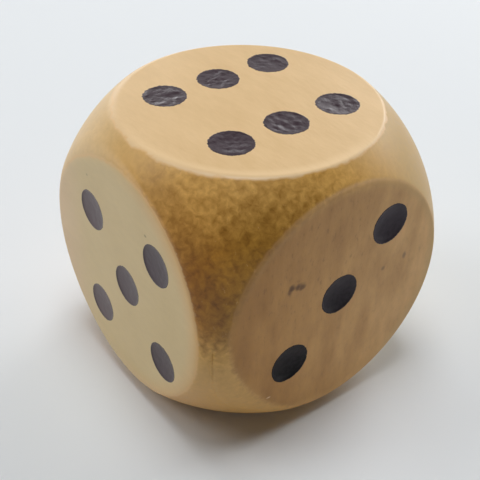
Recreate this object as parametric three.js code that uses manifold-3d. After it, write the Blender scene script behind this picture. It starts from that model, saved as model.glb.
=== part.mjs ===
// A wooden toy die: a solid cube turned down by a ball, so that each face keeps a round flat, with a drilled
// cup for every pip and dark paint pooled in each cup.
//
// Millimetres, +Z up. The origin is the middle of the flat that the die stands on, which carries the one.
// The six is on top, the five looks along -Y and the three along +X. Opposite faces add up to seven.

import * as THREE from "three";
import { mergeVertices } from "three/addons/utils/BufferGeometryUtils.js";
import Module from "manifold-3d";

const wasm = await Module();
wasm.setup();

// The wooden body
const SIDE = 30; // from flat to flat, the same all three ways
const FLAT_DIAMETER = 26.5; // round flat that the ball leaves on each face
const RIM_BREAK = 0.6; // width of the sanded break around each flat

// A pip's cup and the paint in it
const CUP_DIAMETER = 4.4; // mouth of the cup
const CUP_WALL = 0.65; // depth of the cup at its straight wall
const CUP_DISH = 0.35; // how much deeper the cup is in the middle
const PAINT_EDGE = 0.2; // thickness of the paint at the wall
const PAINT_MIDDLE = 0.3; // thickness of the paint in the middle, where it pools
const PAINT_CLEARANCE = 0.25; // gap between the paint and the cup, under it and around it

// The pips' patterns, between the middles of the pips
const SIX_ROW_GAP = 10.9; // from one row of the six to the other
const SIX_PITCH = 6.5; // from pip to pip along a row of the six
const CORNER_SPAN = 11.8; // side of the square of corner pips on the other faces

// How far the drilling of each face strays: along the face, up it, and in degrees about its middle.
// The faces that can't be seen are drilled true.
const SIX_DRIFT = { across: -0.3, up: 0.6, turn: 0.7 };
const FIVE_DRIFT = { across: 0.75, up: -0.55, turn: 2.8 };
const THREE_DRIFT = { across: 0.3, up: 0.85, turn: 1.3 };
const NO_DRIFT = { across: 0, up: 0, turn: 0 };

// How finely the round surfaces are faceted
const BALL_SIDES = 80;
const CUP_SIDES = 24;
const DISH_RINGS = 2;

const WOOD = new THREE.MeshStandardMaterial({ color: 0xd2b07c, roughness: 0.42, metalness: 0 });
const PAINT = new THREE.MeshStandardMaterial({ color: 0x2b2326, roughness: 0.35, metalness: 0 });

// A closed geometry, carried to its place by a matrix, as a solid that can be cut.
function toSolid(geometry, matrix = new THREE.Matrix4()) {
  const bare = geometry.clone().applyMatrix4(matrix);
  bare.deleteAttribute("normal");
  bare.deleteAttribute("uv");
  const merged = mergeVertices(bare);
  return new wasm.Manifold(new wasm.Mesh({
    numProp: 3,
    vertProperties: merged.getAttribute("position").array,
    triVerts: Uint32Array.from(merged.getIndex().array),
  }));
}

function toGeometry(solid) {
  const { vertProperties, triVerts } = solid.getMesh();
  const geometry = new THREE.BufferGeometry();
  geometry.setAttribute("position", new THREE.BufferAttribute(vertProperties, 3));
  geometry.setIndex(new THREE.BufferAttribute(triVerts, 1));
  geometry.computeVertexNormals();
  return geometry;
}

// A round plug on the Z axis whose underside and top are both parabolas, given by their heights in the middle
// and at the straight wall between them.
function dishedPlug(radius, under, top) {
  const parabola = ({ middle, edge }) => Array.from({ length: DISH_RINGS + 1 }, (_, ring) => {
    const reach = ring / DISH_RINGS;
    return new THREE.Vector2(radius * reach, middle + (edge - middle) * reach ** 2);
  });
  const profile = [...parabola(under), ...parabola(top).reverse()];
  return new THREE.LatheGeometry(profile, CUP_SIDES).rotateX(Math.PI / 2);
}

// What the drill takes out for one pip. The flat is at height 0 and the drill stands clear above it.
function cupCutter() {
  const floor = { middle: -CUP_WALL - CUP_DISH, edge: -CUP_WALL };
  const above = { middle: CUP_WALL, edge: CUP_WALL };
  return dishedPlug(CUP_DIAMETER / 2, floor, above);
}

// The paint in one cup, which follows the cup's floor and lies below the flat.
function paintFilling() {
  const under = {
    middle: -CUP_WALL - CUP_DISH + PAINT_CLEARANCE,
    edge: -CUP_WALL + PAINT_CLEARANCE,
  };
  const top = { middle: under.middle + PAINT_MIDDLE, edge: under.edge + PAINT_EDGE };
  return dishedPlug(CUP_DIAMETER / 2 - PAINT_CLEARANCE, under, top);
}

// One face as a group whose Z axis points out of the die and whose X axis runs across the face. Its pattern
// group strays by the drift, and each pip's filling sits in the pattern by its own position.
function makeFace({ name, outward, across, drift, pips }) {
  const normal = new THREE.Vector3(...outward);
  const sideways = new THREE.Vector3(...across);
  const upward = new THREE.Vector3().crossVectors(normal, sideways);
  const face = new THREE.Group();
  face.setRotationFromMatrix(new THREE.Matrix4().makeBasis(sideways, upward, normal));
  face.position.copy(normal).multiplyScalar(SIDE / 2);

  const pattern = new THREE.Group();
  pattern.position.set(drift.across, drift.up, 0);
  pattern.rotation.z = THREE.MathUtils.degToRad(drift.turn);
  face.add(pattern);

  pips.forEach(([x, y], index) => {
    const pip = new THREE.Mesh(paintFilling(), PAINT);
    pip.name = `pip_${name}_${index + 1}`;
    pip.position.set(x, y, 0);
    pattern.add(pip);
  });
  return face;
}

function makeFaces() {
  const corner = CORNER_SPAN / 2;
  const middle = [[0, 0]];
  const rising = [[-corner, -corner], [corner, corner]];
  const falling = [[-corner, corner], [corner, -corner]];
  const rows = [-1, 1].flatMap((row) => [-1, 0, 1].map((step) => [row * SIX_ROW_GAP / 2, step * SIX_PITCH]));
  const faces = new THREE.Group();
  faces.add(
    makeFace({ name: "one", outward: [0, 0, -1], across: [1, 0, 0], drift: NO_DRIFT, pips: middle }),
    makeFace({ name: "two", outward: [0, 1, 0], across: [-1, 0, 0], drift: NO_DRIFT, pips: rising }),
    makeFace({
      name: "three", outward: [1, 0, 0], across: [0, 1, 0], drift: THREE_DRIFT, pips: [...rising, ...middle],
    }),
    makeFace({
      name: "four", outward: [-1, 0, 0], across: [0, -1, 0], drift: NO_DRIFT, pips: [...rising, ...falling],
    }),
    makeFace({
      name: "five", outward: [0, -1, 0], across: [1, 0, 0], drift: FIVE_DRIFT,
      pips: [...rising, ...falling, ...middle],
    }),
    makeFace({ name: "six", outward: [0, 0, 1], across: [1, 0, 0], drift: SIX_DRIFT, pips: rows }),
  );
  return faces;
}

// The double cone about Z that breaks the rims of two opposite flats. At a rim the flat and the ball meet at an
// angle, and the cone lies halfway between them, its width across the edge being RIM_BREAK.
function rimBreaker() {
  const slope = Math.atan2(FLAT_DIAMETER, SIDE) / 2;
  const inset = RIM_BREAK / 2 / Math.cos(slope);
  const flatRadius = FLAT_DIAMETER / 2 - inset;
  const tip = SIDE / 2 + flatRadius * Math.tan(slope);
  const girth = tip / Math.tan(slope);
  const profile = [new THREE.Vector2(0, -tip), new THREE.Vector2(girth, 0), new THREE.Vector2(0, tip)];
  return new THREE.LatheGeometry(profile, BALL_SIDES).rotateX(Math.PI / 2);
}

// The cube, turned down by the ball, with its rims broken and a cup cut for each filling in the faces.
function makeBody(faces) {
  const ballRadius = Math.hypot(SIDE / 2, FLAT_DIAMETER / 2);
  const ball = new THREE.SphereGeometry(ballRadius, BALL_SIDES, BALL_SIDES / 2);
  const aboutX = new THREE.Matrix4().makeRotationY(Math.PI / 2);
  const aboutY = new THREE.Matrix4().makeRotationX(Math.PI / 2);
  let solid = toSolid(new THREE.BoxGeometry(SIDE, SIDE, SIDE))
    .intersect(toSolid(ball))
    .intersect(toSolid(rimBreaker()))
    .intersect(toSolid(rimBreaker(), aboutX))
    .intersect(toSolid(rimBreaker(), aboutY));
  faces.updateMatrixWorld();
  faces.traverse((piece) => {
    if (piece.isMesh) solid = solid.subtract(toSolid(cupCutter(), piece.matrixWorld));
  });
  const body = new THREE.Mesh(toGeometry(solid), WOOD);
  body.name = "wooden_body";
  return body;
}

// The die is made about its middle and then stood on its lowest flat.
const faces = makeFaces();
const body = makeBody(faces);
const die = new THREE.Group();
die.add(body, faces);
die.position.z = SIDE / 2;

export default die;
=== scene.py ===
"""Looks of a wooden toy die: lacquered wood, paint pooled in the pips, pale paper, soft light and the camera.

Metres, +Z up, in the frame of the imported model. Shapes are worked out in millimetres about the die's
middle, as functions of two parameters on polar grids, and carried to metres when their mesh is made.
"""

import math

import bmesh
import bpy
import numpy as np
from mathutils import Matrix, Vector


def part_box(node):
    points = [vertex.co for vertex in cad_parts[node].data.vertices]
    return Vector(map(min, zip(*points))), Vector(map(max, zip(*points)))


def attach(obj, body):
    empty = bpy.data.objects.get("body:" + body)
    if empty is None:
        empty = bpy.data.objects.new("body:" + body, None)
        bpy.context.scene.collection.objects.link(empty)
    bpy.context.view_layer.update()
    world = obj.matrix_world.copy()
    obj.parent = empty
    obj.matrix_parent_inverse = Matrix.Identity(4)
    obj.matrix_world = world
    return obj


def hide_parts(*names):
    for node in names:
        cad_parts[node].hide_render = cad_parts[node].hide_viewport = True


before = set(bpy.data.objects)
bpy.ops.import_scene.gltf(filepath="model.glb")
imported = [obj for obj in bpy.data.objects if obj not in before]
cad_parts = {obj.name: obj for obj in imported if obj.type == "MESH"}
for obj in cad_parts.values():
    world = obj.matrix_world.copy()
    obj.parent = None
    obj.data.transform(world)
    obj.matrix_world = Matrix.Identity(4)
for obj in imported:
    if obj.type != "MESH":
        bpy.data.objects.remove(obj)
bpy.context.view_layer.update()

MM = 0.001

# The body, from the frame
LOW, HIGH = (np.array(corner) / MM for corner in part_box("wooden_body"))
MIDDLE = (LOW + HIGH) / 2
HALF = (HIGH[2] - LOW[2]) / 2

# The turning and sanding of the wood, in millimetres
FLAT_DIAMETER = 26.5  # round flat that the ball leaves on each face, before its rim is rounded
BALL_RADIUS = math.hypot(HALF, FLAT_DIAMETER / 2)
GUARD = 0.12  # width of the flat ring that keeps a rounded edge's shading off the flat
RIM_SWELLS = ((2, 0.15), (5, 0.1))  # waves of the rim's rounding: how many about a face, and their share
SOFT_SHARPNESS = 4.0  # how closely a softer side of a rim keeps to its angle

# Where the turning left the ball zone shallower or fuller than a true ball: direction and depth taken off
WEAR = [((1, -1, -1), 0.35), ((0.75, 0.56, -0.35), -0.16), ((-0.65, -0.75, -0.12), -0.09)]
WEAR_SHARPNESS = 9.0

# A pip's cup and the paint in it, in millimetres
CUP_RADIUS = 2.1
CUP_EDGE = 0.05  # rounding of the cup's mouth
CUP_WALL = 0.65
CUP_DEPTH = 1.0
PAINT_FILM = 0.01  # thickness of the paint that has run out on the flat
FILM_EDGE = 0.05  # width over which that film thins out at its outline
PAINT_LAP = 0.01  # paint that has run out covers at least this much of the flat around the cup's mouth
PAINT_SHORT = 0.03  # paint that stays in its cup ends this far below the flat
PAINT_LIFT = 0.004  # the paint's underside stands this far off the wood
STEP_POWER = 16  # a high power of the radius, which makes the step down at the cup's wall
EDGE_POWER = 6  # a power of the radius, which keeps bumps and lean inside the cup's wall
OUTLINE_WAVES = np.arange(3, 46)[:, None]  # how many ripples about a pip its outline is made of
BUMPS = 70  # bumps and hollows on a pip's paint
BUMP_WIDTHS = (0.14, 0.36)  # least and greatest
BUMP_REACH = 0.85 * CUP_RADIUS  # how far across and up from a pip's middle they lie
SEED = 4

# Fineness of the meshes
RIM_COLUMNS = 192  # a multiple of 8, so that neighbouring faces meet point to point
RIM_RINGS = 7
BALL_RINGS = 12
CUP_COLUMNS = 168
CUP_RINGS = 5  # on the rounded mouth, and again on the floor
PAINT_RINGS = 36
PAINT_CROWDING = 1.8  # above 1, the paint's rings crowd towards its outline
MERGE = 0.0005 * MM  # points nearer than this are one
SLIVER = 0.0001 * MM  # edges shorter than this are taken out
FLUSH = 1e-7  # how near a flat's level a point on the flat lies, in metres

# Each face, with lengths in millimetres:
# outward and across, which way it looks and which way runs across it
# rim, the rounding of its rim; soft, where about the face (in degrees) that is softer and by how much
# paint, the kind of enamel; reach, how far it reaches from a pip's middle
# step and sag, how far the paint steps down at the cup's wall and sags towards the middle
# lean, how it leans across and up the face; lumps and ragged, how lumpy it dried and how ragged its outline
FACES = {
    "one": {
        "outward": (0, 0, -1), "across": (1, 0, 0), "rim": 0.6, "soft": [(60, 1.0)],
        "paint": "dabbed", "reach": 2.09, "step": 0.2, "sag": 0.15,
        "lean": (0, 0), "lumps": 0.02, "ragged": 0.0,
    },
    "two": {
        "outward": (0, 1, 0), "across": (-1, 0, 0), "rim": 0.5, "soft": [(200, 1.2), (80, 0.8)],
        "paint": "dabbed", "reach": 2.18, "step": 0.12, "sag": 0.1,
        "lean": (0.02, -0.03), "lumps": 0.014, "ragged": 0.025,
    },
    "three": {
        "outward": (1, 0, 0), "across": (0, 1, 0), "rim": 0.35, "soft": [(212, 4.3), (165, 0.8), (80, 0.9)],
        "paint": "matt", "reach": 2.24, "step": 0.06, "sag": 0.34,
        "lean": (0.1, 0.07), "lumps": 0.006, "ragged": 0.014,
    },
    "four": {
        "outward": (-1, 0, 0), "across": (0, -1, 0), "rim": 0.6, "soft": [(40, 1.5), (250, 0.8)],
        "paint": "dabbed", "reach": 2.18, "step": 0.1, "sag": 0.15,
        "lean": (-0.03, 0.02), "lumps": 0.014, "ragged": 0.025,
    },
    "five": {
        "outward": (0, -1, 0), "across": (1, 0, 0), "rim": 0.7, "soft": [(5, 1.4), (115, 2.6)],
        "paint": "dusty_sheen", "reach": 2.16, "step": 0.07, "sag": 0.12,
        "lean": (0, 0), "lumps": 0.006, "ragged": 0.015,
    },
    "six": {
        "outward": (0, 0, 1), "across": (1, 0, 0), "rim": 0.4, "soft": [(285, 0.9), (225, 1.2)],
        "paint": "dabbed", "reach": 2.19, "step": 0.0, "sag": 0.06,
        "lean": (0, 0), "lumps": 0.019, "ragged": 0.03,
    },
}


def basis_of(face):
    """Rows across the face, up it and out of it, as unit vectors."""
    across = np.array(FACES[face]["across"], float)
    outward = np.array(FACES[face]["outward"], float)
    return np.array([across, np.cross(outward, across), outward])


def around(columns):
    """Evenly spaced angles once around."""
    return np.arange(columns) * 2 * np.pi / columns


def polar(radius, angle, height):
    """Points at a radius and angle about a face's axis, at a height over the die's middle or the flat."""
    return np.stack([radius * np.cos(angle), radius * np.sin(angle), height], axis=-1)


def ring_quads(rings, columns, start=0):
    """Corner numbers of the quads between neighbouring closed rings, counted from a first point."""
    ring = np.arange(rings - 1)[:, None] * columns
    here = np.arange(columns)[None, :]
    there = (here + 1) % columns
    quads = np.stack([ring + here, ring + there, ring + columns + there, ring + columns + here], axis=-1)
    return quads.reshape(-1, 4) + start


def wear(direction):
    """Depth taken off the ball in a direction from the middle: a sum of round lobes about the worn places."""
    places = np.array([place for place, _ in WEAR], float)
    places /= np.linalg.norm(places, axis=1, keepdims=True)
    lobes = np.exp(-WEAR_SHARPNESS * (1 - direction @ places.T))
    return lobes @ np.array([depth for _, depth in WEAR])


def rim_rounding(face, angle):
    """Radius of a rim's rounding by the angle about the face: slow waves about a mean, and softer sides."""
    (slow, swell), (quick, ripple) = RIM_SWELLS
    waves = 1 + swell * np.sin(slow * angle + len(face)) + ripple * np.sin(quick * angle)
    sides, extra = np.array(FACES[face]["soft"], float).T
    soft = np.exp(SOFT_SHARPNESS * (np.cos(angle[:, None] - np.radians(sides)) - 1)) @ extra
    return FACES[face]["rim"] * waves + soft


def rim_and_ball(face):
    """One face's rim and its share of the ball, as rings of points.

    Along each angle about the face's axis run a guard point on the flat, a circular arc that is tangent to
    the flat and to the ball, and the ball itself out to the plane halfway to the next face. With the ball's
    radius B, the half side H and the arc's radius Q, the arc's middle lies B - Q from the die's middle and
    H - Q up.
    """
    basis = basis_of(face)
    angle = around(RIM_COLUMNS)
    slope = math.asin(FLAT_DIAMETER / 2 / BALL_RADIUS)
    rim_direction = polar(np.sin(slope), angle, np.full_like(angle, np.cos(slope))) @ basis
    ball = BALL_RADIUS - wear(rim_direction)
    rounding = rim_rounding(face, angle)
    reach = np.sqrt((ball - rounding) ** 2 - (HALF - rounding) ** 2)
    meets_ball = np.arctan2(reach, HALF - rounding)

    turn = np.linspace(0, 1, RIM_RINGS)[:, None] * meets_ball
    arc = polar(reach + rounding * np.sin(turn), angle, HALF - rounding + rounding * np.cos(turn))
    guard = polar(reach - GUARD, angle, np.full_like(angle, HALF))[None]

    halfway = np.arctan(1 / np.maximum(np.abs(np.cos(angle)), np.abs(np.sin(angle))))
    share = np.linspace(0, 1, BALL_RINGS + 1)[1:, None]
    lean = meets_ball + (halfway - meets_ball) * share
    direction = polar(np.sin(lean), angle, np.cos(lean))
    zone = direction * (BALL_RADIUS - wear(direction @ basis))[..., None]
    return np.concatenate([guard, arc, zone]) @ basis


def pip_places():
    """Each paint node with its face and its place across and up that face, taken from the node's box."""
    places = {}
    for node in sorted(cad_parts):
        if node.startswith("pip_"):
            face = node.split("_")[1]
            low, high = (np.array(corner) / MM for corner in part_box(node))
            places[node] = (face, (basis_of(face) @ ((low + high) / 2 - MIDDLE))[:2])
    return places


def on_face(face, place, local):
    """Carries points about a pip's middle, with heights over the flat, to the die."""
    return (local + np.array([place[0], place[1], HALF])) @ basis_of(face)


def cup_section():
    """A cup's section from flat to middle: guard, quarter round mouth, straight wall and parabolic floor."""
    turn = np.linspace(0, np.pi / 2, CUP_RINGS)
    mouth = np.stack([CUP_RADIUS + CUP_EDGE * (1 - np.sin(turn)), CUP_EDGE * (np.cos(turn) - 1)], axis=-1)
    share = np.linspace(1, 0, CUP_RINGS)
    floor = np.stack([CUP_RADIUS * share, (CUP_DEPTH - CUP_WALL) * share**2 - CUP_DEPTH], axis=-1)
    return np.concatenate([[[CUP_RADIUS + CUP_EDGE + GUARD, 0]], mouth, floor])


def turned(section):
    """Rings of points from a section of radius and height, carried round the axis. Radius 0 is a pole."""
    radius = np.broadcast_to(section[:, :1], (len(section), CUP_COLUMNS))
    height = np.broadcast_to(section[:, 1:], (len(section), CUP_COLUMNS))
    return polar(radius, around(CUP_COLUMNS), height)


def make_object(name, points, polygons, material):
    """A mesh object at the origin from points in millimetres about the die's middle, with doubles merged."""
    mesh = bpy.data.meshes.new(name)
    mesh.from_pydata(((points + MIDDLE) * MM).tolist(), [], polygons.tolist())
    work = bmesh.new()
    work.from_mesh(mesh)
    bmesh.ops.remove_doubles(work, verts=work.verts, dist=MERGE)
    bmesh.ops.dissolve_degenerate(work, edges=work.edges, dist=SLIVER)
    bmesh.ops.recalc_face_normals(work, faces=work.faces)
    work.to_mesh(mesh)
    work.free()
    mesh.polygons.foreach_set("use_smooth", np.ones(len(mesh.polygons), bool))
    mesh.materials.append(material)
    piece = bpy.data.objects.new(name, mesh)
    bpy.context.scene.collection.objects.link(piece)
    return piece


def make_body(places, material):
    """The wooden body: rims, ball and cups as ring grids, and flats filled between their rim and mouths."""
    grids = [rim_and_ball(face) for face in FACES]
    grids += [on_face(face, place, turned(cup_section())) for face, place in places.values()]
    starts = np.cumsum([0] + [grid[..., 0].size for grid in grids])
    points = np.concatenate([grid.reshape(-1, 3) for grid in grids])
    polygons = np.concatenate([ring_quads(*grid.shape[:2], start) for grid, start in zip(grids, starts)])
    body = make_object("wooden_die_body", points, polygons, material)

    work = bmesh.new()
    work.from_mesh(body.data)
    open_edges = [edge for edge in work.edges if edge.is_boundary]
    for face in FACES:
        outward = Vector(FACES[face]["outward"])
        level = outward.dot(Vector(MIDDLE * MM)) + HALF * MM
        rims = [
            edge for edge in open_edges
            if all(abs(corner.co.dot(outward) - level) < FLUSH for corner in edge.verts)
        ]
        bmesh.ops.triangle_fill(work, edges=rims, use_beauty=True, normal=outward)
    bmesh.ops.recalc_face_normals(work, faces=work.faces)
    work.to_mesh(body.data)
    work.free()
    body.data.polygons.foreach_set("use_smooth", np.ones(len(body.data.polygons), bool))
    return body


def runs_out(face):
    """Whether a face's paint reaches out of its cups and over the flat."""
    return FACES[face]["reach"] > CUP_RADIUS


def paint_surface(face, rng):
    """The upper side of one pip's paint, from its outline to its middle, as rings of points about the pip.

    The outline is a circle with many small seeded ripples, out on the flat, or just inside the cup where the
    paint doesn't reach the flat. Inside the cup's wall the surface steps down by a high power of the radius,
    and from there it sags by its square and leans in a plane, with seeded round bumps and hollows on it.
    """
    look = FACES[face]
    angle = around(CUP_COLUMNS)
    phases = rng.uniform(0, 2 * np.pi, OUTLINE_WAVES.shape)
    ripples = np.sin(OUTLINE_WAVES * angle + phases) * rng.normal(0, 1, OUTLINE_WAVES.shape)
    outline = look["reach"] + look["ragged"] * (ripples / OUTLINE_WAVES**0.5).sum(axis=0)
    if runs_out(face):
        outline = np.maximum(outline, CUP_RADIUS + CUP_EDGE + PAINT_LAP)
    radius = outline * (1 - np.linspace(0, 1, PAINT_RINGS) ** PAINT_CROWDING)[:, None]
    film = -PAINT_SHORT
    if runs_out(face):
        film = PAINT_FILM * np.clip((outline - radius) / FILM_EDGE, 0, 1) ** 0.5
    reach = np.minimum(radius / CUP_RADIUS, 1)
    dish = -look["step"] * (1 - reach**STEP_POWER) - look["sag"] * (1 - reach**2)
    surface = polar(radius, np.broadcast_to(angle, radius.shape), dish + film)

    spots = rng.uniform(-BUMP_REACH, BUMP_REACH, (BUMPS, 2))
    widths = rng.uniform(*BUMP_WIDTHS, BUMPS)
    heights = rng.normal(0, look["lumps"], BUMPS)
    apart = ((surface[..., None, :2] - spots) ** 2).sum(axis=-1)
    bumps = (heights * np.exp(-apart / (2 * widths**2))).sum(axis=-1)
    bumps += surface[..., :2] @ np.array(look["lean"])
    surface[..., 2] += bumps * (1 - reach**EDGE_POWER)
    return surface


def make_paint(node, face, place, material, rng):
    """One pip's paint as a closed shell: its upper side, and an underside that follows the cup a hair off it.

    Where the paint runs out, the underside starts on the flat, and otherwise below the cup's rounded mouth.
    """
    section = cup_section()[1 if runs_out(face) else CUP_RINGS:] + np.array([0, PAINT_LIFT])
    section[:, 0] = np.maximum(section[:, 0] - PAINT_LIFT, 0)
    local = np.concatenate([paint_surface(face, rng)[::-1], turned(section)])
    points = on_face(face, place, local).reshape(-1, 3)
    return make_object(node.replace("pip", "paint"), points, ring_quads(*local.shape[:2]), material)


# Settings that many nodes share
SMOOTH = {"interpolation_type": "SMOOTHSTEP"}
COLOURS = {"data_type": "RGBA"}
TINT = {"data_type": "RGBA", "blend_type": "MULTIPLY"}
NUMBERS = {"data_type": "FLOAT"}
TIMES = {"operation": "MULTIPLY"}
NOISE_RANGE = {"From Min": 0.3, "From Max": 0.7}  # where most of a noise's values lie
NOISE_MEAN = 0.5


def linear(code):
    """The linear colour, with alpha, of an sRGB hex code."""
    values = np.array([int(code[i:i + 2], 16) for i in (1, 3, 5)]) / 255
    values = np.where(values <= 0.04045, values / 12.92, ((values + 0.055) / 1.055) ** 2.4)
    return (*values.tolist(), 1.0)


def add(tree, kind, settings=None, inputs=None):
    """Adds a node with settings, and sets or links its inputs, named or numbered, from values or nodes."""
    node = tree.nodes.new("ShaderNode" + kind)
    for name, value in (settings or {}).items():
        setattr(node, name, value)
    for key, value in (inputs or {}).items():
        named = [socket for socket in node.inputs if socket.enabled and socket.name == key]
        socket = named[0] if named else node.inputs[key]
        if isinstance(value, bpy.types.Node):
            value = next(output for output in value.outputs if output.enabled)
        if isinstance(value, bpy.types.NodeSocket):
            tree.links.new(value, socket)
        else:
            socket.default_value = value
    return node


def new_material(name):
    """A material and its node tree, with no nodes in it yet."""
    material = bpy.data.materials.new(name)
    material.use_nodes = True
    material.node_tree.nodes.clear()
    return material, material.node_tree


def die_point(tree):
    """The point that is shaded, in millimetres about the die's middle."""
    return add(tree, "Mapping", {}, {
        "Vector": add(tree, "TexCoord").outputs["Object"],
        "Location": (-MIDDLE).tolist(),
        "Scale": (1 / MM,) * 3,
    })


# Colours of the wood. The ball cut goes from pale, by gold, to stained where it drank the most lacquer.
SIDE_GRAIN = "#DDBB89"
QUARTER_GRAIN = "#D5BC8A"  # on the five and the two
ROSY_GRAIN = "#DEBC97"
WARM_GRAIN = "#DBAF72"
# painted shade: the end grain goes darker towards -Y, as if by the shadowed floor in front of the three
END_GRAIN_SHADED = "#B58039"  # on the three and the four, from one side of the face to the other
END_GRAIN_LIT = "#D5A566"
END_GRAIN_PIT = "#744A1E"
PALE_CUT = "#CCA566"
PALE_CUT_LEFT = "#DFC08E"
PALE_CUT_FOOT = "#D2A364"
PALE_CUT_BACK = "#BD9B5E"
GOLD_CUT = "#D1A052"
STAINED_CUT_LEFT = "#A66B1E"
STAINED_CUT_RIGHT = "#9A6D24"
DEEPENED_CUT = "#E4DFD4"  # multiplied in, where the cut runs along the five
# painted glints: small light spots on the ball cut
CUT_GLINT = "#E2B77A"
# painted highlight: cream on the top's and the foot's rim, on the side that faces the camera
TOP_RIM_HIGHLIGHT = "#EBCB9C"
# partly worn lacquer, partly a painted highlight: a peach band along every rim
RUBBED_RIM_AND_HIGHLIGHT = "#E4B77C"
GRAIN_TINT = (0.8, 1.0, 1.5)  # how much of a grain's shade goes to red, green and blue
MOTTLE_TINT = (1.0, 1.2, 1.7)  # the same for the ball cut's mottle
GOLD_SHARE = 0.45  # the share of lacquer at which the ball cut is gold, between pale and stained
COARSE_DULLING = 0.08  # how much darker the coarse part of the end grain is

# The edge of the ball cut's colour, in millimetres
CUT_DEPTH = 0.17  # it is full this far below a flat
TOP_RIPPLE = 0.16  # the colour of the top and the foot reaches up to this much further over the rim

# Small flecks in the flats: middle and half lengths, in millimetres about the die's middle, colour and
# strength. The first five make the smear on the three.
FLECKS = [
    ((15.0, -5.93, 4.62), (0.6, 0.4, 0.48), "#5E3600", 0.9),
    ((15.0, -5.2, 4.31), (0.6, 0.34, 0.4), "#5E3600", 0.8),
    ((15.0, -4.65, 4.13), (0.6, 0.5, 0.36), "#5E3600", 0.8),
    ((15.0, -6.15, 4.2), (0.6, 0.32, 0.45), "#5E3600", 0.65),
    ((15.0, -5.25, 4.48), (0.6, 1.0, 0.34), "#5E3600", 0.5),
    ((15.0, 6.0, 1.45), (0.5, 0.3, 0.3), "#5A3F26", 0.5),
    ((15.0, 8.9, 1.8), (0.5, 0.28, 0.5), "#5A3F26", 0.6),
    ((15.0, -7.9, -8.55), (0.5, 0.3, 0.13), "#F0D2A8", 0.8),
    ((4.75, -15.0, 8.1), (0.22, 0.5, 0.16), "#5A3F26", 0.5),
    ((-5.9, -15.0, 9.0), (0.2, 0.5, 0.14), "#5A3F26", 0.4),
]

# Patterns in the wood: the size of a grain along X, Y and Z in millimetres, and the noise's detail,
# roughness and distortion. Beech's own pores are finer than a pixel of the photograph, so their pattern is
# drawn as coarse as it needs to show.
GRAINS = {
    "mottle": ((0.65, 0.65, 0.65), 3.0, 0.55, 0.4),  # torn fibres of the ball cut
    "ripple": ((1.1, 1.1, 1.1), 1.5, 0.5, 0.0),  # the wavering edge of the top's rim
    "cloud": ((6.0, 2.4, 6.0), 1.5, 0.5, 0.0),  # slow streaks along the grain
    "fleck": ((1.6, 0.5, 0.7), 3.0, 0.65, 0.0),  # rays in the side grain
    "pores": ((0.6, 0.5, 1.1), 3.0, 0.7, 0.0),  # rays and pores in the end grain
}

# Ways and spots that zones of the wood go by, in millimetres about the die's middle
WOOD_WAYS = {"to_front": (0.8, -0.6, 0.0), "to_right": (1.0, 1.0, 0.0)}
WOOD_SPOTS = {
    "from_front": (14.0, -14.0, 5.0),
    "from_back": (-14.0, 14.0, -4.0),
    "from_coarse": (15.0, -4.0, 7.0),
}

# Zones of the wood, each by one measure of a point in millimetres: the measure, where the zone starts and
# ends, and its share at the start and at the end. The soft zones ease in and out, the even ones don't.
SOFT_ZONES = {
    "end_flat": ("off_x", HALF - 0.3, HALF - 0.05, 0.0, 1.0),
    "end_grain": ("off_x", HALF - 0.5, HALF - 0.15, 0.0, 1.0),
    "gentle_rim": ("off_x", HALF - 1.6, HALF - 0.9, 1.0, 0.75),
    "quarter_flat": ("off_y", HALF - 0.3, HALF - 0.05, 0.0, 1.0),
    "top_or_foot": ("off_z", HALF - 0.3, HALF - 0.05, 0.0, 1.0),
    "soaked": ("out", 19.25, 20.0, 0.0, 0.6),
    "near_rim": ("out", 18.4, 19.8, 0.0, 0.7),
    # painted highlight along the rims of the top and the foot
    "painted_rim_highlight": ("out", 19.1, 19.75, 0.0, 0.75),
    "facing": ("to_front", 3.0, 11.0, 0.0, 1.0),
    "right_of_front": ("to_right", -7.0, 5.0, 0.0, 1.0),
    "coarse": ("from_coarse", 4.0, 11.0, 1.0, 0.3),
    "thirsty_end": ("x", 10.0, 15.0, 0.0, 0.3),
    "leftward": ("x", 3.0, -12.0, 0.0, 1.0),
    "rosy": ("x", -6.0, -12.5, 0.0, 0.6),
    "forward": ("x", -4.0, 9.0, 0.0, 1.0),
    "along_five": ("x", 1.5, 5.5, 0.0, 1.0),
    "beside_five": ("y", -12.2, -13.8, 0.0, 1.0),
    "behind": ("y", 2.0, 10.0, 0.0, 1.0),
    "before": ("y", 2.0, 10.0, 1.0, 0.0),
    "above_foot": ("z", -3.0, 6.0, 0.0, 1.0),
    "upper_half": ("z", 2.0, 7.5, 0.0, 1.0),
    "downward": ("z", 3.0, -9.0, 0.0, 1.0),
}
EVEN_ZONES = {
    "past_cups": ("out", 18.4, 18.7, 0.0, 1.0),
    # share of the rims' peach band, partly a painted highlight: full on the side grain, a quarter next to the
    # end grain
    "rim_band_share": ("off_x", HALF - 0.9, HALF - 0.5, 1.0, 0.25),
    # painted shade across the end grain: darker towards -Y
    "end_grain_lit_share": ("y", -11.0, 12.0, 0.0, 1.0),
    "front_corner": ("from_front", 3.0, 19.0, 1.0, 0.03),
    "back_corner": ("from_back", 3.0, 18.0, 0.9, 0.0),
}


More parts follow.
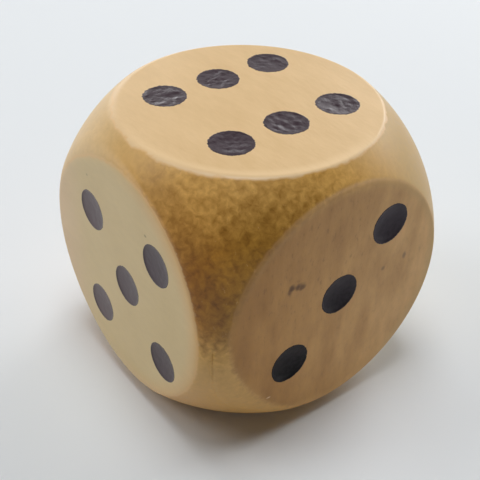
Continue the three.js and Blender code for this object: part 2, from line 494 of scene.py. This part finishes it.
def wood_measures(tree, point):
    """What the zones go by: coordinates with and without their sign, the distance out from the die's middle,
    how far a point lies along the named ways, and its distance from the named spots."""
    signed = add(tree, "SeparateXYZ", {}, {0: point})
    plain = add(tree, "SeparateXYZ", {}, {0: add(tree, "VectorMath", {"operation": "ABSOLUTE"}, {0: point})})
    measures = {"out": add(tree, "VectorMath", {"operation": "LENGTH"}, {0: point})}
    for axis in "xyz":
        measures[axis] = signed.outputs[axis.upper()]
        measures["off_" + axis] = plain.outputs[axis.upper()]
    for name, way in WOOD_WAYS.items():
        measures[name] = add(tree, "VectorMath", {"operation": "DOT_PRODUCT"}, {0: point, 1: way})
    for name, spot in WOOD_SPOTS.items():
        measures[name] = add(tree, "VectorMath", {"operation": "DISTANCE"}, {0: point, 1: spot})
    return measures


def wood_zones(tree, measures):
    """The share of each zone at a point."""
    zones = {}
    for table, settings in ((SOFT_ZONES, SMOOTH), (EVEN_ZONES, {})):
        for name, (measure, start, end, first, last) in table.items():
            zones[name] = add(tree, "MapRange", settings, {
                "Value": measures[measure],
                "From Min": start, "From Max": end, "To Min": first, "To Max": last,
            })
    return zones


def wood_grains(tree, point):
    """The value of each pattern at a point, from 0 to 1."""
    grains = {}
    for name, (size, detail, roughness, distortion) in GRAINS.items():
        scaled = add(tree, "Mapping", {}, {"Vector": point, "Scale": tuple(1 / length for length in size)})
        grains[name] = add(tree, "TexNoise", {}, {
            "Vector": scaled, "Scale": 1.0,
            "Detail": detail, "Roughness": roughness, "Distortion": distortion,
        })
    return grains


def ball_cut(tree, measures, zones, grains):
    """How far a point belongs to the ball cut: 0 on the flats, rising over the rims to 1 on the ball.

    It goes by the depth below the nearest flat. On the top and the foot the flat's colour reaches a little
    further over the rim, in ripples. On the end grain the cut's lacquer has soaked in from the rim.
    """
    ripple = add(tree, "MapRange", {}, {
        "Value": grains["ripple"], **NOISE_RANGE, "To Max": TOP_RIPPLE,
    })
    upright = add(tree, "Math", {"operation": "ADD"}, {0: measures["off_z"], 1: ripple})
    most = add(tree, "Math", {"operation": "MAXIMUM"}, {0: measures["off_x"], 1: measures["off_y"]})
    most = add(tree, "Math", {"operation": "MAXIMUM"}, {0: most, 1: upright})
    below = add(tree, "Math", {"operation": "SUBTRACT"}, {0: HALF, 1: most})
    patchy = add(tree, "MapRange", {}, {
        "Value": grains["mottle"], **NOISE_RANGE, "To Min": 0.7, "To Max": 1.3,
    })
    for share in (patchy, zones["gentle_rim"]):
        below = add(tree, "Math", TIMES, {0: below, 1: share})
    cut = add(tree, "MapRange", SMOOTH, {"Value": below, "From Max": CUT_DEPTH})
    cut = add(tree, "Math", TIMES, {0: cut, 1: zones["past_cups"]})
    soaked = add(tree, "Math", TIMES, {0: zones["soaked"], 1: zones["end_flat"]})
    return add(tree, "Math", {"operation": "MAXIMUM"}, {0: cut, 1: soaked})


def ball_cut_colour(tree, zones, grains):
    """Pale, gold or stained, by how much lacquer the cut drank: most at the front corner above the foot and
    at the corner opposite, and a little more beside the three. Torn fibres mottle it, most where deep, and a
    few painted glints dot it."""
    front = add(tree, "Math", TIMES, {0: zones["front_corner"], 1: zones["above_foot"]})
    deep = add(tree, "Math", {"operation": "MAXIMUM"}, {0: front, 1: zones["back_corner"]})
    deep = add(tree, "Math", {"operation": "MULTIPLY_ADD"}, {
        0: zones["thirsty_end"], 1: zones["before"], 2: deep,
    })
    stain = add(tree, "Mix", COLOURS, {
        "Factor": zones["right_of_front"], "A": linear(STAINED_CUT_LEFT), "B": linear(STAINED_CUT_RIGHT),
    })
    colour = linear(PALE_CUT)
    for share, layer in (
        (zones["leftward"], linear(PALE_CUT_LEFT)),
        (zones["downward"], linear(PALE_CUT_FOOT)),
        (zones["behind"], linear(PALE_CUT_BACK)),
        (add(tree, "MapRange", {}, {"Value": deep, "From Max": GOLD_SHARE}), linear(GOLD_CUT)),
        (add(tree, "MapRange", {}, {"Value": deep, "From Min": GOLD_SHARE}), stain),
    ):
        colour = add(tree, "Mix", COLOURS, {"Factor": share, "A": colour, "B": layer})

    beside = zones["beside_five"]
    for share in (zones["along_five"], zones["upper_half"]):
        beside = add(tree, "Math", TIMES, {0: beside, 1: share})
    colour = add(tree, "Mix", TINT, {"Factor": beside, "A": colour, "B": linear(DEEPENED_CUT)})

    torn = add(tree, "MapRange", {}, {
        "Value": deep, "From Min": 0.25, "From Max": 0.7, "To Min": 0.25, "To Max": 1.6,
    })
    spread = add(tree, "Math", {"operation": "SUBTRACT"}, {0: grains["mottle"], 1: NOISE_MEAN})
    spread = add(tree, "Math", TIMES, {0: spread, 1: torn})
    spread = add(tree, "VectorMath", {"operation": "SCALE"}, {0: MOTTLE_TINT, "Scale": spread})
    spread = add(tree, "VectorMath", {"operation": "ADD"}, {0: spread, 1: (1.0, 1.0, 1.0)})
    colour = add(tree, "Mix", TINT, {"Factor": 1.0, "A": colour, "B": spread})
    # painted glints: a few small light spots where the pores' pattern is highest
    painted_glints = add(tree, "MapRange", SMOOTH, {
        "Value": grains["pores"], "From Min": 0.64, "From Max": 0.74, "To Max": 0.3,
    })
    return add(tree, "Mix", COLOURS, {"Factor": painted_glints, "A": colour, "B": linear(CUT_GLINT)})


def flat_colour(tree, point, zones, grains, fleck):
    """Side grain, or end grain across X, which is painted darker towards -Y as shade: streaked and flecked,
    with open pits in the end grain's coarse part, a cream painted highlight along the top's and the foot's
    rim where it faces the camera, and marked by the small flecks."""
    sides = add(tree, "Mix", COLOURS, {
        "Factor": zones["quarter_flat"], "A": linear(SIDE_GRAIN), "B": linear(QUARTER_GRAIN),
    })
    rosy = add(tree, "Math", TIMES, {0: zones["rosy"], 1: zones["quarter_flat"]})
    warmed = add(tree, "Math", TIMES, {0: zones["near_rim"], 1: zones["forward"]})
    warmed = add(tree, "Math", TIMES, {0: warmed, 1: zones["quarter_flat"]})
    # the end grain, painted darker towards -Y as shade from the shadowed floor in front of the three
    ends = add(tree, "Mix", COLOURS, {
        "Factor": zones["end_grain_lit_share"], "A": linear(END_GRAIN_SHADED), "B": linear(END_GRAIN_LIT),
    })
    colour = sides
    for share, layer in (
        (rosy, linear(ROSY_GRAIN)), (warmed, linear(WARM_GRAIN)), (zones["end_grain"], ends),
    ):
        colour = add(tree, "Mix", COLOURS, {"Factor": share, "A": colour, "B": layer})

    fine = add(tree, "MapRange", {}, {"Value": zones["end_grain"], "To Min": 0.5, "To Max": 0.28})
    depth = add(tree, "MapRange", {}, {"Value": zones["end_grain"], "To Min": 0.35, "To Max": 1.2})
    coarse = add(tree, "Math", TIMES, {0: zones["coarse"], 1: zones["end_grain"]})
    shade = add(tree, "Mix", NUMBERS, {"Factor": fine, "A": grains["cloud"], "B": fleck})
    shade = add(tree, "Math", {"operation": "SUBTRACT"}, {0: shade, 1: NOISE_MEAN})
    shade = add(tree, "Math", TIMES, {0: shade, 1: depth})
    shade = add(tree, "Math", {"operation": "MULTIPLY_ADD"}, {0: coarse, 1: -COARSE_DULLING, 2: shade})
    shade = add(tree, "VectorMath", {"operation": "SCALE"}, {0: GRAIN_TINT, "Scale": shade})
    shade = add(tree, "VectorMath", {"operation": "ADD"}, {0: shade, 1: (1.0, 1.0, 1.0)})
    colour = add(tree, "Mix", TINT, {"Factor": 1.0, "A": colour, "B": shade})

    pits = add(tree, "MapRange", SMOOTH, {
        "Value": grains["pores"], "From Min": 0.42, "From Max": 0.3, "To Max": 0.3,
    })
    pits = add(tree, "Math", TIMES, {0: pits, 1: coarse})
    # painted highlight: cream along the top's and the foot's rim, where it faces the camera
    painted_rim_highlight = zones["painted_rim_highlight"]
    for share in (zones["top_or_foot"], zones["facing"]):
        painted_rim_highlight = add(tree, "Math", TIMES, {0: painted_rim_highlight, 1: share})
    layers = [(pits, END_GRAIN_PIT), (painted_rim_highlight, TOP_RIM_HIGHLIGHT)]
    for middle, reach, tint, strength in FLECKS:
        near = add(tree, "VectorMath", {"operation": "SUBTRACT"}, {0: point, 1: middle})
        near = add(tree, "VectorMath", {"operation": "DIVIDE"}, {0: near, 1: reach})
        near = add(tree, "VectorMath", {"operation": "LENGTH"}, {0: near})
        near = add(tree, "Math", {"operation": "SUBTRACT"}, {0: near, 1: grains["mottle"]})
        near = add(tree, "MapRange", SMOOTH, {
            "Value": near, "From Min": 0.7, "From Max": -0.2, "To Max": strength,
        })
        layers.append((near, tint))
    for share, tint in layers:
        colour = add(tree, "Mix", COLOURS, {"Factor": share, "A": colour, "B": linear(tint)})
    return colour


def lacquered_beech():
    """Beech, sawn, turned and sanded, under clear lacquer: pale, close-grained flats with fine flecks along X
    and a browner end grain across X, painted darker towards -Y as shade. The ball cut tears the grain, so it
    drank more lacquer: deeper gold, mottled, darkest at two opposite corners, with a few painted glints.
    Along the rims it is a warm cream, partly worn-thin lacquer and partly a painted highlight."""
    material, tree = new_material("beech_clear_lacquer")
    point = die_point(tree)
    measures = wood_measures(tree, point)
    zones = wood_zones(tree, measures)
    grains = wood_grains(tree, point)
    fleck = add(tree, "Mix", NUMBERS, {
        "Factor": zones["end_grain"], "A": grains["fleck"], "B": grains["pores"],
    })
    cut = ball_cut(tree, measures, zones, grains)
    colour = add(tree, "Mix", COLOURS, {
        "Factor": cut,
        "A": flat_colour(tree, point, zones, grains, fleck),
        "B": ball_cut_colour(tree, zones, grains),
    })
    # a peach band along every rim: partly worn lacquer, partly a painted highlight
    band = add(tree, "Math", {"operation": "PINGPONG"}, {0: cut, 1: 0.5})
    band = add(tree, "Math", TIMES, {0: band, 1: zones["rim_band_share"]})
    colour = add(tree, "Mix", COLOURS, {"Factor": band, "A": colour, "B": linear(RUBBED_RIM_AND_HIGHLIGHT)})
    grit = add(tree, "Mix", NUMBERS, {"Factor": cut, "A": fleck, "B": grains["mottle"]})
    bump = add(tree, "Bump", {}, {"Height": grit, "Strength": 0.3, "Distance": 0.06 * MM})
    rough = add(tree, "MapRange", {}, {
        "Value": grit, **NOISE_RANGE, "To Min": 0.36, "To Max": 0.46,
    })
    shader = add(tree, "BsdfPrincipled", {}, {
        "Base Color": colour, "Roughness": rough, "IOR": 1.45, "Normal": bump,
    })
    add(tree, "OutputMaterial", {}, {"Surface": shader})
    return material


# The kinds of paint in the pips: darkest and lightest colour, specular level, least roughness, how strongly
# its skin is grained, and the way in which it lightens over the die, as a share per millimetre along X, Y, Z.
# That lightening is a painted reflection: lighter where pips mirror the brighter floor further off, darker
# where they mirror the shadow beside the die.
ENAMELS = {
    "dabbed": ("#2B1D24", "#46353D", 0.5, 0.28, 0.7, (0, 0, 0)),
    # grey partly from dust, partly a painted sheen; painted lighter towards -X as a reflection of the
    # brighter floor
    "dusty_sheen": ("#43343A", "#5C4B4D", 0.35, 0.3, 0.3, (-1 / 15, 0, 0)),
    # painted lighter upwards: a sheen where the upper pips mirror the brighter floor further off
    "matt": ("#0B0708", "#3B3239", 0.12, 0.35, 0.3, (0, 0, 1 / 15)),
}
SKIN_GRAIN = 0.4  # size of the wrinkles in the paint's skin, in millimetres
SKIN_ROUGHENING = 0.12  # from the least roughness to the greatest


def pip_enamel(kind):
    """Near-black enamel, dabbed into the cups by brush: a half-gloss skin with small lumps that catch the
    light. Handled, it goes grey with dust, a grey that is partly a painted sheen, and where it soaked in, it
    dried matt. On some faces it is painted lighter or darker as a reflection of the lit or shadowed floor."""
    dark, light, gloss, least_rough, graining, way = ENAMELS[kind]
    material, tree = new_material("black_enamel_" + kind)
    point = die_point(tree)
    skin = add(tree, "TexNoise", {}, {"Vector": point, "Scale": 1 / SKIN_GRAIN, "Detail": 3.0})
    # painted reflection: lighter along the kind's way, darker where pips mirror the shadow beside the die
    across = add(tree, "VectorMath", {"operation": "DOT_PRODUCT"}, {0: point, 1: way})
    shade = add(tree, "Math", {"operation": "ADD"}, {0: across, 1: skin})
    colour = add(tree, "Mix", COLOURS, {"Factor": shade, "A": linear(dark), "B": linear(light)})
    rough = add(tree, "MapRange", {}, {
        "Value": skin, **NOISE_RANGE, "To Min": least_rough, "To Max": least_rough + SKIN_ROUGHENING,
    })
    bump = add(tree, "Bump", {}, {"Height": skin, "Strength": graining, "Distance": 0.05 * MM})
    shader = add(tree, "BsdfPrincipled", {}, {
        "Base Color": colour, "Roughness": rough, "IOR": 1.5, "Specular IOR Level": gloss, "Normal": bump,
    })
    add(tree, "OutputMaterial", {}, {"Surface": shader})
    return material


# The paper under the die and the room around it, in metres
PAPER = "#E4E8EB"
PAPER_REACH = 1.5
ROOM = "#F2F5F8"
ROOM_GLOW = 0.88  # at eye level, where the paper fades into the room
ROOM_DIM = 0.06  # overhead
DIM_START, DIM_END = 0.12, 0.5  # between these sines of the elevation it goes from one to the other
FADE_START, FADE_END = 0.14, 0.4  # the paper fades between these distances from the die

# Soft boxes: azimuth from +X and elevation in degrees, distance, width and height in metres, and watts
LAMPS = {
    "overhead": (232, 88, 0.5, (0.22, 0.22), 1.25),
    "behind_one": (119, 16, 0.5, (0.28, 0.18), 0.41),
    "behind_two": (165, 16, 0.5, (0.28, 0.18), 0.41),
    "behind_right": (97, 26, 0.5, (0.4, 0.3), 1.22),
    "behind_left": (187, 50, 0.5, (0.22, 0.22), 0.15),
    "left": (232, 45, 0.5, (0.22, 0.22), 0.55),
    "low_left": (240, 2.6, 1.0, (0.9, 0.12), 1.8),
    "low_right": (40, 2.6, 1.0, (0.9, 0.12), 1.4),
}

# The photograph's camera: direction from the die's middle, with the azimuth counted from -Y, and small
# turns, in degrees, and its distance in metres
CAMERA_AZIMUTH, CAMERA_ELEVATION = 51.90, 36.30
CAMERA_ROLL, CAMERA_PAN, CAMERA_TILT = 2.04, 0.23, -0.87
CAMERA_DISTANCE = 0.09465
CAMERA_LENS, CAMERA_SENSOR = 65.87, 36.0  # in millimetres
CAMERA_NEAR = 0.005  # nearest that it shows, in metres


def seen(tree):
    """1 for the camera's own rays and for what gloss and glass show, 0 for the light on the die."""
    path = add(tree, "LightPath")
    most = add(tree, "Math", {"operation": "MAXIMUM"}, {
        0: path.outputs["Is Camera Ray"], 1: path.outputs["Is Glossy Ray"],
    })
    return add(tree, "Math", {"operation": "MAXIMUM"}, {0: most, 1: path.outputs["Is Transmission Ray"]})


def floor_paper():
    """Matt white paper with a cool cast, which fades into the pale room well away from the die."""
    material, tree = new_material("matt_white_paper")
    paper = add(tree, "BsdfPrincipled", {}, {"Base Color": linear(PAPER), "Roughness": 0.9})
    away = add(tree, "VectorMath", {"operation": "LENGTH"}, {0: add(tree, "TexCoord").outputs["Object"]})
    away = add(tree, "MapRange", SMOOTH, {"Value": away, "From Min": FADE_START, "From Max": FADE_END})
    away = add(tree, "Math", TIMES, {0: away, 1: seen(tree)})
    haze = add(tree, "Emission", {}, {"Color": linear(ROOM), "Strength": ROOM_GLOW})
    shader = add(tree, "MixShader", {}, {0: away, 1: paper, 2: haze})
    add(tree, "OutputMaterial", {}, {"Surface": shader})
    return material


def make_floor():
    """A square sheet of paper under the die, at the level that it stands on."""
    mesh = bpy.data.meshes.new("floor")
    corners = [(x * PAPER_REACH, y * PAPER_REACH, 0) for x, y in ((-1, -1), (1, -1), (1, 1), (-1, 1))]
    mesh.from_pydata(corners, [], [(0, 1, 2, 3)])
    mesh.materials.append(floor_paper())
    floor = bpy.data.objects.new("floor", mesh)
    bpy.context.scene.collection.objects.link(floor)


def make_room():
    """A room, pale at eye level and dim above, which shows to the camera and in gloss but sheds no light."""
    world = bpy.data.worlds.new("studio")
    world.use_nodes = True
    tree = world.node_tree
    tree.nodes.clear()
    height = add(tree, "SeparateXYZ", {}, {0: add(tree, "TexCoord").outputs["Generated"]}).outputs["Z"]
    glow = add(tree, "MapRange", SMOOTH, {
        "Value": height,
        "From Min": DIM_START, "From Max": DIM_END, "To Min": ROOM_GLOW, "To Max": ROOM_DIM,
    })
    glow = add(tree, "Math", TIMES, {0: glow, 1: seen(tree)})
    room = add(tree, "Background", {}, {"Color": linear(ROOM), "Strength": glow})
    add(tree, "OutputWorld", {}, {"Surface": room})
    bpy.context.scene.world = world


def make_lamp(name, azimuth, elevation, distance, size, watts):
    """A white soft box, seen from the die's middle in a direction, and facing it."""
    data = bpy.data.lights.new(name, "AREA")
    data.shape = "RECTANGLE"
    data.size, data.size_y = size
    data.energy = watts
    lamp = bpy.data.objects.new(name, data)
    turn = Matrix.Rotation(math.radians(azimuth + 90), 4, "Z")
    tip = Matrix.Rotation(math.radians(90 - elevation), 4, "X")
    stand = Matrix.Translation(Vector(MIDDLE * MM))
    lamp.matrix_world = stand @ turn @ tip @ Matrix.Translation((0, 0, distance))
    bpy.context.scene.collection.objects.link(lamp)


def make_camera():
    """The photograph's view, by its direction from the die's middle, its distance and its small turns."""
    azimuth, elevation = np.radians([CAMERA_AZIMUTH, CAMERA_ELEVATION])
    roll, pan, tilt = np.radians([CAMERA_ROLL, CAMERA_PAN, CAMERA_TILT])
    data = bpy.data.cameras.new("camera")
    data.sensor_width = CAMERA_SENSOR
    data.lens = CAMERA_LENS
    data.clip_start = CAMERA_NEAR
    camera = bpy.data.objects.new("camera", data)
    look = Matrix.Rotation(azimuth, 4, "Z") @ Matrix.Rotation(math.pi / 2 - elevation, 4, "X")
    stand = Matrix.Translation(Vector(MIDDLE * MM)) @ look @ Matrix.Translation((0, 0, CAMERA_DISTANCE))
    turn = Matrix.Rotation(roll, 4, "Z") @ Matrix.Rotation(pan, 4, "Y") @ Matrix.Rotation(tilt, 4, "X")
    camera.matrix_world = stand @ turn
    bpy.context.scene.collection.objects.link(camera)
    bpy.context.scene.camera = camera


def make_die():
    """The body and the paint of every pip, each riding on the die and standing for its solid."""
    places = pip_places()
    body = make_body(places, lacquered_beech())
    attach(body, "root")
    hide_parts("wooden_body")
    enamels = {kind: pip_enamel(kind) for kind in ENAMELS}
    rng = np.random.default_rng(SEED)
    for node, (face, place) in places.items():
        paint = make_paint(node, face, place, enamels[FACES[face]["paint"]], rng)
        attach(paint, "root")
        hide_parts(node)


make_die()
make_floor()
make_room()
for lamp_name, lamp in LAMPS.items():
    make_lamp(lamp_name, *lamp)
make_camera()
bpy.context.scene.view_settings.view_transform = "Standard"
